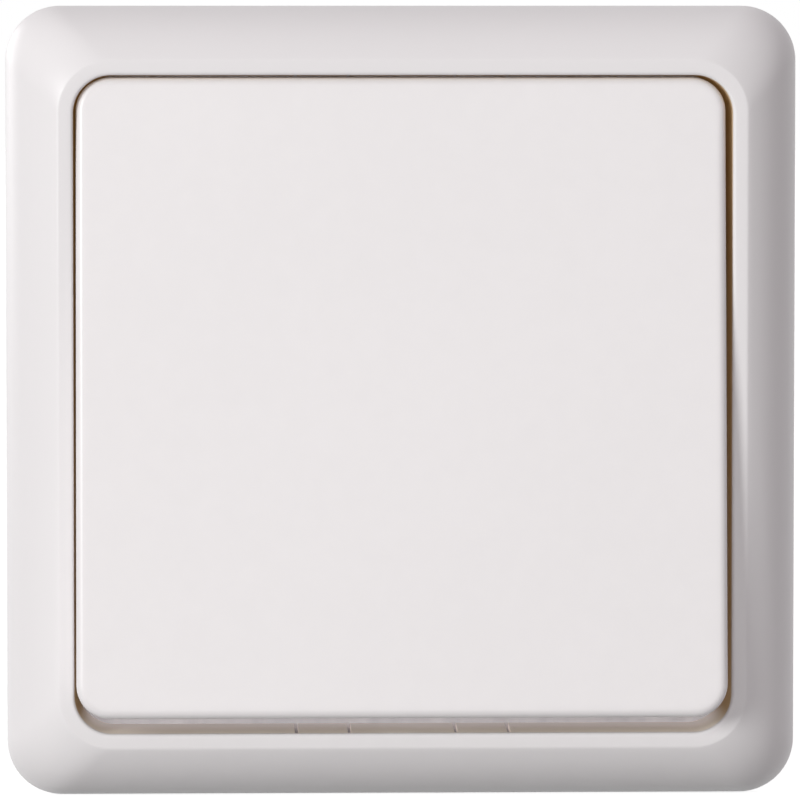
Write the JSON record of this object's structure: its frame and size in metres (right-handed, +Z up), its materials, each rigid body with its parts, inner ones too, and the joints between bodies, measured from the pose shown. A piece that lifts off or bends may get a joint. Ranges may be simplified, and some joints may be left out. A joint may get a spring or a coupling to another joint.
{
  "type": "light switch",
  "caption": "Flush light switch: a square cover frame with sloping sides, a wide white rocker and the snap-over switch insert behind them, screwed or clawed into a wall box.",
  "frame": {"origin": "in the wall plane, midway between the two box screw slots, at the centre of the cover frame", "axes": "+Z up, +X to the right seen from the room, -Y out of the wall into the room"},
  "size_m": [0.081, 0.0345, 0.081],
  "materials": {
    "white_plastic": "semi-gloss moulding",
    "rocker_plastic": "semi-gloss moulding",
    "carrier_plastic": "plain moulding",
    "plunger_plastic": "plain moulding",
    "housing_plastic": "plain moulding",
    "lid_plastic": "plain moulding",
    "zinc_steel": "zinc plated",
    "screw_steel": "zinc plated",
    "spring_steel": "drawn wire",
    "brass": "stamped",
    "contact_silver": "plain silver"
  },
  "bodies": {
    "insert": {"cover_frame": "white_plastic", "support_plate": "zinc_steel", "base_housing": "housing_plastic", "housing_lid": "lid_plastic", "plate_rivets": "zinc_steel", "fixed_contacts": "contact_silver", "common_terminal": "brass", "upper_terminal": "brass", "lower_terminal": "brass", "terminal_screws": "screw_steel", "claw_pins": "screw_steel"},
    "rocker": {"rocker": "rocker_plastic", "rocker_carrier": "carrier_plastic", "contact_spring": "spring_steel"},
    "plunger": {"plunger": "plunger_plastic"},
    "contact_arm": {"contact_arm": "brass", "arm_contacts": "contact_silver"},
    "left_claw": {"left_claw": "zinc_steel"},
    "right_claw": {"right_claw": "zinc_steel"},
    "left_claw_screw": {"left_claw_screw": "screw_steel"},
    "right_claw_screw": {"right_claw_screw": "screw_steel"}
  },
  "joints": [
    {"name": "rocker_pivot", "type": "hinge", "parent": "insert", "child": "rocker", "pos_m": [0, -0.0008, 0], "axis": [1, 0, 0], "range_deg": [0, 10]},
    {"name": "contact_swing", "type": "hinge", "parent": "insert", "child": "contact_arm", "pos_m": [0, 0.01275, 0], "axis": [1, 0, 0], "range_deg": [-12, 0]},
    {"name": "plunger_slide", "type": "slide", "parent": "rocker", "child": "plunger", "axis": [0, -0.9962, 0.0872], "range_m": [0, 0.001], "stiffness_N_per_m": 500, "springref_m": -0.002, "deforming": ["contact_spring"]},
    {"name": "left_screw_drive", "type": "slide", "parent": "insert", "child": "left_claw_screw", "axis": [0, 1, 0], "range_m": [0, 0.00167]},
    {"name": "right_screw_drive", "type": "slide", "parent": "insert", "child": "right_claw_screw", "axis": [0, 1, 0], "range_m": [0, 0.00167]},
    {"name": "left_claw_pivot", "type": "hinge", "parent": "insert", "child": "left_claw", "pos_m": [-0.0252, 0.007, 0], "axis": [0, 0, 1], "range_deg": [0, 20]},
    {"name": "right_claw_pivot", "type": "hinge", "parent": "insert", "child": "right_claw", "pos_m": [0.0252, 0.007, 0], "axis": [0, 0, 1], "range_deg": [-20, 0]}
  ],
  "couplings": [
    {"joint": "contact_swing", "follows": "rocker_pivot", "ratio": -1.2},
    {"joint": "left_claw_pivot", "follows": "left_screw_drive", "rad_per_m": 209.5},
    {"joint": "right_claw_pivot", "follows": "right_screw_drive", "rad_per_m": -209.5}
  ]
}
